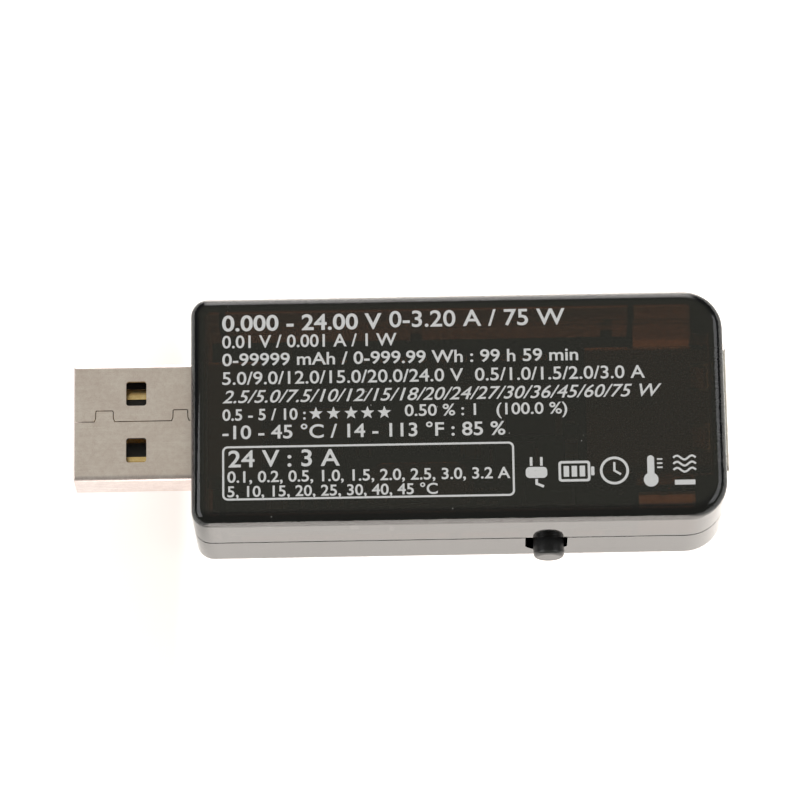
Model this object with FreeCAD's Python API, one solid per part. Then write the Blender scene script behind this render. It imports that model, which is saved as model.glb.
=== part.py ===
import FreeCAD, Part
import math
import os

V = FreeCAD.Vector
os.makedirs("parts", exist_ok=True)

# ---------------------------------------------------------------- dimensions (mm)
# Frame: origin at the centre of the case's display face, +X to the output socket,
# -X to the plug, +Z to the label face, -Y to the side with the button.
case_length = 52.4
case_width = 23.4
case_height = 13.8
case_edge_radius = 1.35
corner_radius_plug_end = 1.75
corner_radius_socket_end = 3.9
wall = 1.3
parting_z = 7.0
parting_chamfer = 0.12
lip_outer_offset = 0.72
lip_height = 1.0
lip_clearance = 0.05

board_bottom_z = 4.41
board_top_z = 5.61
board_half_width = 9.3
board_narrow_half_width = 6.9
board_step_x = 17.6
board_end_x = 24.4

plug_width = 12.0
plug_height = 4.5
plug_sheet = 0.3
plug_exposed = 11.7
plug_corner_radius = 0.55
plug_inner_end_x = -19.4
plug_window_start = 5.16
plug_window_length = 2.0
plug_window_width = 2.5
plug_window_y = 2.92

socket_width = 13.1
socket_height = 5.7
socket_sheet = 0.3
socket_corner_radius = 0.8
socket_back_x = 12.6
socket_stand_out = 0.3

button_x = 8.76
button_z = 4.30
button_radius = 1.52
button_stand_out = 1.3
button_travel = 0.25
switch_z = 7.96
switch_plunger_radius = 0.95
button_running_clearance = 0.06

notch_left_x = 6.45
notch_right_x = 10.6
notch_bottom_z = 2.62

usb_power_pitch = 3.5
usb_data_pitch = 1.0

# ---------------------------------------------------------------- derived
hx = case_length / 2
hy = case_width / 2
plug_front_x = -hx - plug_exposed
plug_bottom_z = board_top_z
plug_top_z = plug_bottom_z + plug_height
plug_mid_z = plug_bottom_z + plug_height / 2
socket_bottom_z = board_top_z
socket_top_z = socket_bottom_z + socket_height
socket_mid_z = socket_bottom_z + socket_height / 2
socket_front_x = hx + socket_stand_out
button_tip_y = -hy - button_stand_out


# ---------------------------------------------------------------- helpers
def box(x0, x1, y0, y1, z0, z1):
    return Part.makeBox(x1 - x0, y1 - y0, z1 - z0, V(x0, y0, z0))


def prism(points, along):
    pts = [V(*p) for p in points]
    return Part.Face(Part.makePolygon(pts + [pts[0]])).extrude(V(*along))


def rounded_wire(u0, u1, v0, v1, radii, place):
    """Rounded rectangle; radii at (u0v0, u1v0, u1v1, u0v1); place maps (u, v) to a point."""
    ra, rb, rc, rd = radii
    s = math.sqrt(0.5)
    edges = []

    def line(a, b):
        if (abs(a[0] - b[0]) + abs(a[1] - b[1])) > 1e-6:
            edges.append(Part.makeLine(place(*a), place(*b)))

    def arc(a, m, b):
        edges.append(Part.Arc(place(*a), place(*m), place(*b)).toShape())

    line((u0 + ra, v0), (u1 - rb, v0))
    arc((u1 - rb, v0), (u1 - rb + rb * s, v0 + rb - rb * s), (u1, v0 + rb))
    line((u1, v0 + rb), (u1, v1 - rc))
    arc((u1, v1 - rc), (u1 - rc + rc * s, v1 - rc + rc * s), (u1 - rc, v1))
    line((u1 - rc, v1), (u0 + rd, v1))
    arc((u0 + rd, v1), (u0 + rd - rd * s, v1 - rd + rd * s), (u0, v1 - rd))
    line((u0, v1 - rd), (u0, v0 + ra))
    arc((u0, v0 + ra), (u0 + ra - ra * s, v0 + ra - ra * s), (u0 + ra, v0))
    return Part.Wire(edges)


def plan(x0, x1, y0, y1, z0, z1, r_left, r_right):
    w = rounded_wire(x0, x1, y0, y1, (r_left, r_right, r_right, r_left), lambda u, v: V(u, v, z0))
    return Part.Face(w).extrude(V(0, 0, z1 - z0))


def tube_section(x0, x1, y0, y1, z0, z1, r):
    w = rounded_wire(y0, y1, z0, z1, (r, r, r, r), lambda u, v: V(x0, u, v))
    return Part.Face(w).extrude(V(x1 - x0, 0, 0))


def side_section(x0, x1, z0, z1, y0, y1, r):
    w = rounded_wire(x0, x1, z0, z1, (r, r, r, r), lambda u, v: V(u, y0, v))
    return Part.Face(w).extrude(V(0, y1 - y0, 0))


def edges_at_z(shape, z):
    return [e for e in shape.Edges if all(abs(v.Point.z - z) < 1e-6 for v in e.Vertexes)]


def case_plan(offset, z0, z1):
    return plan(-hx + offset, hx - offset, -hy + offset, hy - offset, z0, z1,
                max(corner_radius_plug_end - offset, 0.6),
                corner_radius_socket_end - offset)


def union(shapes):
    out = shapes[0]
    for s in shapes[1:]:
        out = out.fuse(s)
    return out.removeSplitter()


def cut(shape, tools):
    for t in tools:
        shape = shape.cut(t)
    return shape


def group(shapes):
    solids = []
    for s in shapes:
        solids += s.Solids
    return Part.makeCompound(solids)


def save(name, shape):
    solids = shape.Solids
    assert solids, name
    for s in solids:
        assert s.isValid() and s.Volume > 0, name
    out = solids[0] if len(solids) == 1 else Part.makeCompound(solids)
    out.exportStep("parts/%s.step" % name)
    bb = out.BoundBox
    print("%-26s %2d  %9.3f mm3  x %.2f..%.2f y %.2f..%.2f z %.2f..%.2f" % (
        name, len(solids), sum(s.Volume for s in solids),
        bb.XMin, bb.XMax, bb.YMin, bb.YMax, bb.ZMin, bb.ZMax))


# ---------------------------------------------------------------- openings in the case
plug_hole = tube_section(-hx - 1, -hx + wall + 0.6, -plug_width / 2 - 0.06, plug_width / 2 + 0.06,
                         plug_bottom_z - 0.06, plug_top_z + 0.06, plug_corner_radius + 0.06)
socket_hole = tube_section(hx - wall - 0.6, hx + 1, -socket_width / 2 - 0.07, socket_width / 2 + 0.07,
                           socket_bottom_z - 0.07, socket_top_z + 0.07, socket_corner_radius + 0.07)

notch = prism([(notch_left_x, -hy - 1, parting_z + 0.5), (notch_left_x, -hy - 1, notch_bottom_z + 1.3),
               (notch_left_x + 0.45, -hy - 1, notch_bottom_z + 0.6), (notch_left_x + 1.1, -hy - 1, notch_bottom_z),
               (notch_right_x - 1.1, -hy - 1, notch_bottom_z), (notch_right_x - 0.45, -hy - 1, notch_bottom_z + 0.6),
               (notch_right_x, -hy - 1, notch_bottom_z + 1.3), (notch_right_x, -hy - 1, parting_z + 0.5)],
              (0, 3.0, 0))

# ---------------------------------------------------------------- back cover (label side)
outer_up = case_plan(0, parting_z, case_height)
outer_up = outer_up.makeFillet(case_edge_radius, edges_at_z(outer_up, case_height))
outer_up = outer_up.makeChamfer(parting_chamfer, edges_at_z(outer_up, parting_z))
cavity_up = case_plan(wall, parting_z - 1.5, case_height - wall)
cavity_up = cavity_up.makeFillet(0.45, edges_at_z(cavity_up, case_height - wall))
lip = case_plan(lip_outer_offset, parting_z - lip_height, parting_z + 0.6)
back = outer_up.fuse(lip)
back = back.cut(cavity_up)

snap_xs_far = (-19.0, 0.0, 19.0)
snap_xs_near = (-19.0, -4.0, 18.0)
snap_length = 4.0
snap_face = hy - lip_outer_offset


def snap(x, sign, grow):
    g = grow
    y = snap_face * sign
    return prism([(x - snap_length / 2 - g, y - 0.1 * sign, 6.22 - g),
                  (x - snap_length / 2 - g, y + (0.2 + g * 0.5) * sign, 6.45 - g * 0.5),
                  (x - snap_length / 2 - g, y + (0.2 + g * 0.5) * sign, 6.6 + g * 0.5),
                  (x - snap_length / 2 - g, y - 0.1 * sign, 6.8 + g)],
                 (snap_length + 2 * g, 0, 0))


snaps = [(x, 1) for x in snap_xs_far] + [(x, -1) for x in snap_xs_near]
inner_top = case_height - wall + 0.3
rib_parts = []
for s in (1, -1):
    y_in, y_out = 8.9, hy - wall + 0.35
    lo, hi = (y_in, y_out) if s > 0 else (-y_out, -y_in)
    lo_b, hi_b = (y_in, hy - wall - 0.05) if s > 0 else (-(hy - wall - 0.05), -y_in)
    for rx0, rx1 in ((16.9, 17.5), (-23.4, -22.8)):                            # hold-down ribs, socket end and plug end
        rib_parts.append(box(rx0, rx1, lo, hi, parting_z + 0.2, inner_top))
        rib_parts.append(box(rx0, rx1, lo_b, hi_b, board_top_z, parting_z + 0.3))
    lo, hi = (7.3, hy - wall + 0.35) if s > 0 else (-(hy - wall + 0.35), -7.3)
    corner = box(23.0, hx - wall + 0.3, lo, hi, 7.2, inner_top)
    rib_parts.append(corner.common(case_plan(0.6, 6.0, case_height)))
back = union([back] + rib_parts + [snap(x, s, 0) for x, s in snaps])
back = cut(back, [plug_hole, socket_hole,
                  box(notch_left_x - 0.12, notch_right_x + 0.12, -hy + 0.3, -hy + 2.0, parting_z - 1.2, parting_z)])
save("back_cover", back)

# ---------------------------------------------------------------- front case (display side)
outer_lo = case_plan(0, 0, parting_z)
outer_lo = outer_lo.makeFillet(case_edge_radius, edges_at_z(outer_lo, 0))
outer_lo = outer_lo.makeChamfer(parting_chamfer, edges_at_z(outer_lo, parting_z))
cavity_lo = case_plan(wall, wall, parting_z + 1)
cavity_lo = cavity_lo.makeFillet(0.45, edges_at_z(cavity_lo, wall))
lip_room = case_plan(lip_outer_offset - lip_clearance, parting_z - lip_height - lip_clearance, parting_z + 1)
front = cut(outer_lo, [cavity_lo, lip_room])
display_x0, display_x1 = -17.2, 12.0
display_half = 8.0
front = front.cut(plan(display_x0 - 0.2, display_x1 + 0.2, -display_half - 0.2, display_half + 0.2,
                       1.0, wall + 0.1, 0.8, 0.8))
ledges = []
for x in (-22.2, 15.0):
    for s in (1, -1):
        lo, hi = (8.75, hy - wall + 0.3) if s > 0 else (-(hy - wall + 0.3), -8.75)
        ledges.append(box(x - 0.6, x + 0.6, lo, hi, wall - 0.2, board_bottom_z))
for x in (-4.0,):
    ledges.append(box(x - 0.6, x + 0.6, 8.75, hy - wall + 0.3, wall - 0.2, board_bottom_z))
ledges.append(box(-1.0, 0.2, -(hy - wall + 0.3), -8.75, wall - 0.2, board_bottom_z))
ledges.append(box(23.3, 24.1, -6.2, 6.2, wall - 0.2, board_bottom_z))
pin_xs, pin_ys, pin_r = (-22.6,), (-7.2, 7.2), 0.6
for x in pin_xs:
    for y in pin_ys:
        ledges.append(Part.makeCylinder(1.2, board_bottom_z - wall + 0.2, V(x, y, wall - 0.2)))
        ledges.append(Part.makeCylinder(pin_r, 6.3 - wall, V(x, y, wall)))
front = union([front] + ledges)
front = cut(front, [plug_hole, socket_hole, notch] + [snap(x, s, 0.05) for x, s in snaps])
save("front_case", front)

# ---------------------------------------------------------------- plug
shell = tube_section(plug_front_x, plug_inner_end_x, -plug_width / 2, plug_width / 2,
                     plug_bottom_z, plug_top_z, plug_corner_radius)
front_edges = [e for e in shell.Edges if all(abs(v.Point.x - plug_front_x) < 1e-6 for v in e.Vertexes)]
shell = shell.makeFillet(0.14, front_edges)
bore = tube_section(plug_front_x - 1, plug_inner_end_x + 1, -plug_width / 2 + plug_sheet, plug_width / 2 - plug_sheet,
                    plug_bottom_z + plug_sheet, plug_top_z - plug_sheet, plug_corner_radius - plug_sheet)
shell = shell.cut(bore)
window_tools = []
wx0 = plug_front_x + plug_window_start
for s in (1, -1):
    yc = s * plug_window_y
    window_tools.append(plan(wx0, wx0 + plug_window_length, yc - plug_window_width / 2, yc + plug_window_width / 2,
                             plug_bottom_z - 1, plug_top_z + 1, 0.28, 0.28))
shell = cut(shell, window_tools)
# folded seam with two interlocking tabs, each flared where it leaves the sheet
g = 0.045
seam_y = 0.06
tab_y = 1.18
tabs = ((plug_front_x + 2.14, plug_front_x + 3.90), (plug_front_x + 9.78, plug_front_x + 11.26))
line_pts = [(plug_front_x - 0.5, seam_y)]
for a, b in tabs:
    line_pts += [(a - 0.14, seam_y), (a, seam_y + 0.34), (a + 0.02, tab_y - 0.08), (a + 0.10, tab_y),
                 (b - 0.10, tab_y), (b - 0.02, tab_y - 0.08), (b, seam_y + 0.34), (b + 0.14, seam_y)]
line_pts += [(plug_inner_end_x + 0.5, seam_y)]
seam_tools = []
for (ax, ay), (bx, by) in zip(line_pts, line_pts[1:]):
    length = math.hypot(bx - ax, by - ay)
    ux, uy = (bx - ax) / length, (by - ay) / length
    nx, ny = -uy * g, ux * g
    ax, ay, bx, by = ax - ux * g, ay - uy * g, bx + ux * g, by + uy * g
    z0 = plug_top_z - plug_sheet - 0.2
    seam_tools.append(prism([(ax + nx, ay + ny, z0), (bx + nx, by + ny, z0),
                             (bx - nx, by - ny, z0), (ax - nx, ay - ny, z0)], (0, 0, plug_sheet + 0.5)))
shell = cut(shell, seam_tools)
plug_leg_x = -21.2
plug_legs = [box(plug_leg_x - 0.6, plug_leg_x + 0.6, *(sorted((s * (plug_width / 2 - plug_sheet), s * plug_width / 2))),
                 board_bottom_z - 0.75, plug_bottom_z + plug_corner_radius + 0.3) for s in (1, -1)]
shell = union([shell] + plug_legs)
save("plug_shell", shell)

contact_w = 1.05
contact_t = 0.25
tongue_top_z = 7.86
contact_top_z = 7.98
tail_x = -18.75


def plug_contact(y, x_start):
    z1, z0 = contact_top_z, contact_top_z - contact_t
    strip = box(x_start, tail_x, y - contact_w / 2, y + contact_w / 2, z0, z1)
    nose = prism([(x_start, y - contact_w / 2, z0), (x_start - 0.35, y - contact_w / 2, z0 - 0.12),
                  (x_start - 0.35, y - contact_w / 2, z0 + 0.02), (x_start, y - contact_w / 2, z1)], (0, contact_w, 0))
    tail = box(tail_x - 0.25, tail_x, y - 0.3, y + 0.3, board_bottom_z - 0.75, z1)
    s = union([strip, nose, tail])
    return s.cut(box(x_start + 0.4, -27.0, y - 0.06, y + 0.06, z1 - 0.05, z1 + 0.1))


power = [plug_contact(s * usb_power_pitch, plug_front_x + 1.5) for s in (1, -1)]
data = [plug_contact(s * usb_data_pitch, plug_front_x + 2.5) for s in (1, -1)]
save("plug_power_contacts", group(power))
save("plug_data_contacts", group(data))

inner_half = plug_width / 2 - plug_sheet - 0.03
tongue = box(plug_front_x + 0.45, -26.0, -inner_half, inner_half, plug_bottom_z + plug_sheet + 0.02, tongue_top_z)
tongue = tongue.makeChamfer(0.35, [e for e in tongue.Edges if abs(e.BoundBox.XMin - (plug_front_x + 0.45)) < 1e-6
                                   and abs(e.BoundBox.XMax - (plug_front_x + 0.45)) < 1e-6
                                   and abs(e.BoundBox.ZMin - tongue_top_z) < 1e-6])
rear = tube_section(-26.6, -19.6, -inner_half, inner_half, plug_bottom_z + plug_sheet + 0.02,
                    plug_top_z - plug_sheet - 0.02, 0.38)
insulator = tongue.fuse(rear).removeSplitter()
insulator = cut(insulator, power + data + [
    tube_section(plug_front_x - 1, plug_inner_end_x + 1, -7, 7, plug_bottom_z - 2, plug_bottom_z + plug_sheet + 0.02, 0.1)])
# keep inside the rounded bore
insulator = insulator.common(tube_section(plug_front_x, -19.0, -inner_half, inner_half,
                                          plug_bottom_z + plug_sheet + 0.02, plug_top_z - plug_sheet - 0.02, 0.38))
save("plug_insulator", insulator)

# ---------------------------------------------------------------- socket
ss = tube_section(socket_back_x, socket_front_x, -socket_width / 2, socket_width / 2,
                  socket_bottom_z, socket_top_z, socket_corner_radius)
ss = ss.makeFillet(0.12, [e for e in ss.Edges if all(abs(v.Point.x - socket_front_x) < 1e-6 for v in e.Vertexes)])
ss = ss.cut(tube_section(socket_back_x - 1, socket_front_x + 1, -socket_width / 2 + socket_sheet,
                         socket_width / 2 - socket_sheet, socket_bottom_z + socket_sheet,
                         socket_top_z - socket_sheet, socket_corner_radius - socket_sheet))
finger_x0, finger_x1 = 22.9, 25.0
finger_half, slot_half = 1.03, 1.48
fingers = []
for s in (1, -1):
    yc = s * 3.1
    ss = ss.cut(box(finger_x0, finger_x1, yc - slot_half, yc + slot_half, socket_bottom_z - 1, socket_top_z + 1))
    for top in (1, 0):
        o = socket_top_z if top else socket_bottom_z
        k = -1 if top else 1
        t = socket_sheet * k
        pts = [(finger_x0 - 0.3, o), (finger_x0 + 0.1, o), (finger_x0 + 1.35, o + 0.45 * k), (finger_x1 - 0.35, o + 0.22 * k),
               (finger_x1 - 0.4, o + 0.22 * k + t * 0.85), (finger_x0 + 1.35, o + 0.45 * k + t), (finger_x0 + 0.02, o + t),
               (finger_x0 - 0.3, o + t)]
        fingers.append(prism([(x, yc - finger_half, z) for x, z in pts], (0, 2 * finger_half, 0)))
for s in (1, -1):
    lo, hi = sorted((s * (socket_width / 2 - 1), s * (socket_width / 2 + 1)))
    ss = ss.cut(box(20.9, 23.4, lo, hi, socket_mid_z - 1.15, socket_mid_z + 1.15))
    o = s * socket_width / 2
    t = socket_sheet * s
    pts = [(20.6, o), (21.0, o), (22.3, o - 0.4 * s), (23.0, o - 0.2 * s), (23.0, o - 0.2 * s - t * 0.85),
           (22.3, o - 0.4 * s - t), (20.95, o - t), (20.6, o - t)]
    fingers.append(prism([(x, y, socket_mid_z - 0.75) for x, y in pts], (0, 0, 1.5)))
socket_leg_xs = (14.6, 20.2)
legs = []
for x in socket_leg_xs:
    for s in (1, -1):
        lo, hi = sorted((s * (socket_width / 2 - socket_sheet), s * socket_width / 2))
        legs.append(box(x - 0.55, x + 0.55, lo, hi, board_bottom_z - 0.75, socket_bottom_z + socket_corner_radius + 0.3))
ss = ss.cut(box(socket_back_x - 1, 14.3, -4.4, 4.4, socket_bottom_z - 1, socket_bottom_z + socket_sheet + 0.1))  # room for the tails
ss = union([ss] + fingers + legs)
save("socket_shell", ss)

st0, st1 = socket_mid_z + 0.05, socket_mid_z + 1.85          # tongue underside and top
sock_tail_x = 13.5


def socket_contact(y, x_end):
    z1, z0 = st0, st0 - 0.2
    pts = [(sock_tail_x, z1), (sock_tail_x, z0), (x_end - 2.6, z0), (x_end - 1.7, z0 - 0.22), (x_end - 0.6, z0),
           (x_end, z0), (x_end, z1), (x_end - 0.65, z1), (x_end - 1.7, z1 - 0.22), (x_end - 2.6, z1)]
    strip = prism([(x, y - 0.5, z) for x, z in pts], (0, 1.0, 0))
    tail = box(sock_tail_x, sock_tail_x + 0.25, y - 0.3, y + 0.3, board_bottom_z - 0.75, z1)
    return union([strip, tail])


spower = [socket_contact(s * usb_power_pitch, 25.0) for s in (1, -1)]
sdata = [socket_contact(s * usb_data_pitch, 24.0) for s in (1, -1)]
save("socket_power_contacts", group(spower))
save("socket_data_contacts", group(sdata))
sh = socket_width / 2 - socket_sheet - 0.03
block = tube_section(12.75, 16.4, -sh, sh, socket_bottom_z + socket_sheet + 0.02, socket_top_z - socket_sheet - 0.02, 0.47)
stongue = box(16.2, socket_front_x - 0.95, -5.55, 5.55, st0, st1)
stongue = stongue.makeChamfer(0.3, [e for e in stongue.Edges if abs(e.BoundBox.XMin - (socket_front_x - 0.95)) < 1e-6
                                    and abs(e.BoundBox.XMax - (socket_front_x - 0.95)) < 1e-6
                                    and abs(e.BoundBox.ZMax - e.BoundBox.ZMin) < 1e-6])
sins = block.fuse(stongue).removeSplitter()
sins = cut(sins, spower + sdata)
save("socket_insulator", sins)

# ---------------------------------------------------------------- push button switch
plate_front_y, plate_back_y = -9.4, -9.1
housing_back_y = -6.0
sw_half = 2.25
sw_top_z = switch_z + 2.25
cavity_floor_y = -7.2
housing = box(button_x - sw_half, button_x + sw_half, plate_back_y, housing_back_y, board_top_z, sw_top_z)
housing = housing.cut(Part.makeCylinder(1.95, cavity_floor_y - plate_back_y + 1, V(button_x, plate_back_y - 1, switch_z), V(0, 1, 0)))
save("switch_housing", housing)

plate = box(button_x - sw_half, button_x + sw_half, plate_front_y, plate_back_y, board_top_z + 0.1, sw_top_z)
plate = plate.makeFillet(0.4, [e for e in plate.Edges if abs(e.BoundBox.ZMin - sw_top_z) < 1e-6 and abs(e.BoundBox.XMax - e.BoundBox.XMin) < 1e-6])
for s in (1, -1):
    lo, hi = sorted((button_x + s * sw_half, button_x + s * (sw_half + 0.3)))
    plate = plate.fuse(box(lo, hi, plate_front_y, -7.2, 6.2, 9.4))
    plate = plate.fuse(box(lo, hi, -8.9, -8.1, board_bottom_z - 0.75, 6.4))
plate = plate.removeSplitter()
plate = plate.cut(Part.makeCylinder(switch_plunger_radius + button_running_clearance, 3, V(button_x, -10.5, switch_z), V(0, 1, 0)))
save("switch_cover_plate", plate)

terminal_xs, terminal_y = (7.4, 9.9), -8.4
terminals = [box(x - 0.35, x + 0.35, terminal_y - 0.15, terminal_y + 0.15, board_bottom_z - 0.75, board_top_z) for x in terminal_xs]
save("switch_terminals", group(terminals))

dome_rim, dome_rise, dome_t = 1.7, 0.45, 0.10
dome_R = (dome_rim ** 2 + dome_rise ** 2) / (2 * dome_rise)
dome_c = V(button_x, cavity_floor_y - dome_rise + dome_R, switch_z)
dome = Part.makeSphere(dome_R + dome_t, dome_c).cut(Part.makeSphere(dome_R, dome_c))
dome = dome.common(box(button_x - 1.9, button_x + 1.9, cavity_floor_y - 2, cavity_floor_y, switch_z - 1.9, switch_z + 1.9))
save("switch_dome", dome)

# the switch's own plunger: shaft through the plate, collar behind it, nub against the snap dome
nub_tip_y = cavity_floor_y - dome_rise - dome_t - 0.02
collar_front_y = plate_back_y + 0.02
tab_back_y = -9.74
shaft = Part.makeCylinder(switch_plunger_radius, collar_front_y + 0.2 - (tab_back_y + 0.02), V(button_x, tab_back_y + 0.02, switch_z), V(0, 1, 0))
collar = Part.makeCylinder(1.5, 0.5, V(button_x, collar_front_y, switch_z), V(0, 1, 0))
nub = Part.makeCylinder(0.6, nub_tip_y - collar_front_y - 0.4, V(button_x, collar_front_y + 0.4, switch_z), V(0, 1, 0))
save("switch_plunger", union([shaft, collar, nub]))

# the button: a round cap out through the notch, a wide plate behind the wall that keeps it in,
# and a narrower tab up the inside of the wall that pushes the plunger
tab_front_y = -hy + wall + 0.1
cap = Part.makeCylinder(button_radius, tab_front_y + 0.3 - button_tip_y, V(button_x, button_tip_y, button_z), V(0, 1, 0))
cap = cap.makeFillet(0.42, [e for e in cap.Edges if abs(e.BoundBox.YMax - button_tip_y) < 1e-6])
keeper = box(notch_left_x - 0.5, notch_right_x + 0.6, tab_front_y, tab_back_y, notch_bottom_z - 0.5, parting_z - 0.25)
tab = box(button_x - 1.35, button_x + 1.35, tab_front_y, tab_back_y, parting_z - 0.6, switch_z + 1.25)
web = Part.makeCylinder(button_radius, 0.3, V(button_x, tab_front_y, button_z), V(0, 1, 0))
button = union([cap, keeper, tab, web])
button = button.makeFillet(0.45, [e for e in button.Edges if abs(e.BoundBox.YMax - e.BoundBox.YMin - (tab_back_y - tab_front_y)) < 1e-6
                                  and e.BoundBox.XMax - e.BoundBox.XMin < 1e-6 and e.BoundBox.ZMax - e.BoundBox.ZMin < 1e-6])
save("button", button)

# ---------------------------------------------------------------- display stack
dx0, dx1 = display_x0, display_x1
glass_x0, glass_x1 = dx0 + 1.3, dx1 - 0.7
fp = box(glass_x0 + 0.9, glass_x1 - 0.9, -6.6, 6.0, 1.35, 1.50)
save("lcd_front_polarizer", fp)
save("lcd_front_glass", box(glass_x0, glass_x1, -7.2, 7.2, 1.50, 2.05))
save("lcd_rear_glass", box(glass_x0, glass_x1, -7.2, 6.0, 2.05, 2.60))
save("lcd_rear_polarizer", box(glass_x0 + 0.9, glass_x1 - 0.9, -6.6, 5.4, 2.60, 2.75))
guide = box(glass_x0, glass_x1, -7.0, 5.8, 2.80, 3.70)
save("backlight_guide", guide)
save("backlight_reflector", box(glass_x0, glass_x1, -7.0, 5.8, 3.70, 3.80))
leds = [box(glass_x0 - 0.85, glass_x0 - 0.05, y - 1.5, y + 1.5, 2.85, 3.65) for y in (-3.6, 2.4)]
save("backlight_leds", group(leds))
frame = plan(dx0, dx1, -display_half, display_half, 1.30, board_bottom_z, 0.6, 0.6)
frame = cut(frame, [
    box(glass_x0 - 0.08, glass_x1 + 0.08, -7.28, 7.28, 1.28, 2.62),             # seat of the glass
    box(glass_x0 - 0.08, glass_x1 + 0.08, -7.08, 5.88, 2.6, 3.82),              # seat of the light guide
    box(glass_x0 + 0.6, glass_x1 - 0.6, -6.4, 5.2, 3.7, board_bottom_z + 1),    # back opening
    box(glass_x0 + 0.4, glass_x1 - 0.4, 6.15, 9.0, 1.0, board_bottom_z + 1),    # open side for the pins
] + [box(glass_x0 - 0.9, glass_x0, y - 1.55, y + 1.55, 2.8, 3.7) for y in (-3.6, 2.4)])
save("lcd_frame", frame)
pins = []
pin_count, pin_pitch = 12, 2.0
pin_mid = (glass_x0 + glass_x1) / 2
for i in range(pin_count):
    x = pin_mid + (i - (pin_count - 1) / 2) * pin_pitch
    clip = union([box(x - 0.45, x + 0.45, 6.5, 7.4, 2.05, 2.2), box(x - 0.45, x + 0.45, 7.2, 7.4, 1.35, 2.2),
                  box(x - 0.45, x + 0.45, 6.5, 7.4, 1.35, 1.5),
                  box(x - 0.2, x + 0.2, 7.2, 7.4, 2.1, board_top_z + 0.5)])
    pins.append(clip)
save("lcd_pins", group(pins))

# ---------------------------------------------------------------- board
def board_outline(z0, z1):
    hw, nw, sx, ex, lx = board_half_width, board_narrow_half_width, board_step_x, board_end_x, -24.4
    return prism([(lx, -hw, z0), (sx, -hw, z0), (sx, -nw, z0), (ex, -nw, z0), (ex, nw, z0), (sx, nw, z0), (sx, hw, z0), (lx, hw, z0)],
                 (0, 0, z1 - z0))


board = board_outline(board_bottom_z, board_top_z)
holes = []
bz, bh = board_bottom_z - 1, board_top_z - board_bottom_z + 2
for y in (usb_power_pitch, usb_data_pitch, -usb_data_pitch, -usb_power_pitch):
    holes.append(Part.makeCylinder(0.46, bh, V(tail_x - 0.125, y, bz)))
    holes.append(Part.makeCylinder(0.46, bh, V(sock_tail_x + 0.125, y, bz)))
for x in terminal_xs:
    holes.append(Part.makeCylinder(0.5, bh, V(x, terminal_y, bz)))
for i in range(pin_count):
    x = pin_mid + (i - (pin_count - 1) / 2) * pin_pitch
    holes.append(Part.makeCylinder(0.35, bh, V(x, 7.3, bz)))
for x in pin_xs:
    for y in pin_ys:
        holes.append(Part.makeCylinder(pin_r + 0.1, bh, V(x, y, bz)))


def slot_z(x, y, half_x, half_y):
    r = min(half_x, half_y) * 0.98
    return plan(x - half_x, x + half_x, y - half_y, y + half_y, bz, bz + bh, r, r)


for s in (1, -1):
    holes.append(slot_z(plug_leg_x, s * (plug_width / 2 - plug_sheet / 2), 0.8, 0.32))
    for x in socket_leg_xs:
        holes.append(slot_z(x, s * (socket_width / 2 - socket_sheet / 2), 0.75, 0.27))
    holes.append(slot_z(button_x + s * (sw_half + 0.15), -8.5, 0.32, 0.58))
board = cut(board, holes)
save("main_pcb", board)

# ---------------------------------------------------------------- solder fillets under the board
solder = []


def blob(x, y, r, tools):
    c = Part.makeCone(r * 0.5, r, 0.5, V(x, y, board_bottom_z - 0.5), V(0, 0, 1))
    for t in tools:
        c = c.cut(t)
    solder.append(c)


for y, t in ((usb_power_pitch, power[0]), (-usb_power_pitch, power[1]), (usb_data_pitch, data[0]), (-usb_data_pitch, data[1])):
    blob(tail_x - 0.125, y, 0.8, [t])
for y, t in ((usb_power_pitch, spower[0]), (-usb_power_pitch, spower[1]), (usb_data_pitch, sdata[0]), (-usb_data_pitch, sdata[1])):
    blob(sock_tail_x + 0.125, y, 0.8, [t])
for s in (1, -1):
    blob(plug_leg_x, s * (plug_width / 2 - plug_sheet / 2), 1.1, [shell])
    for x in socket_leg_xs:
        blob(x, s * (socket_width / 2 - socket_sheet / 2), 0.95 if x < board_step_x else 0.62, [ss])
    blob(button_x + s * (sw_half + 0.15), -8.5, 0.7, [plate])
for x, t in zip(terminal_xs, terminals):
    blob(x, terminal_y, 0.65, [t])
# trim anything that would run into the display holder or the case
solder = [c.cut(frame).cut(front) for c in solder]
save("solder_joints", group(solder))

# ---------------------------------------------------------------- components on the label side of the board
zt = board_top_z


def chip(x, y, lx, ly, h, stand=0.1, draft=0.12):
    """Moulded body with slightly drafted sides."""
    z0, z1, zm = zt + stand, zt + stand + h, zt + stand + h * 0.5
    lower = Part.makeLoft([Part.makePolygon([V(x - lx / 2 + draft, y - ly / 2 + draft, z0), V(x + lx / 2 - draft, y - ly / 2 + draft, z0),
                                             V(x + lx / 2 - draft, y + ly / 2 - draft, z0), V(x - lx / 2 + draft, y + ly / 2 - draft, z0),
                                             V(x - lx / 2 + draft, y - ly / 2 + draft, z0)]),
                           Part.makePolygon([V(x - lx / 2, y - ly / 2, zm), V(x + lx / 2, y - ly / 2, zm),
                                             V(x + lx / 2, y + ly / 2, zm), V(x - lx / 2, y + ly / 2, zm), V(x - lx / 2, y - ly / 2, zm)]),
                           Part.makePolygon([V(x - lx / 2 + draft, y - ly / 2 + draft, z1), V(x + lx / 2 - draft, y - ly / 2 + draft, z1),
                                             V(x + lx / 2 - draft, y + ly / 2 - draft, z1), V(x - lx / 2 + draft, y + ly / 2 - draft, z1),
                                             V(x - lx / 2 + draft, y - ly / 2 + draft, z1)])], True, True)
    return lower


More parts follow.
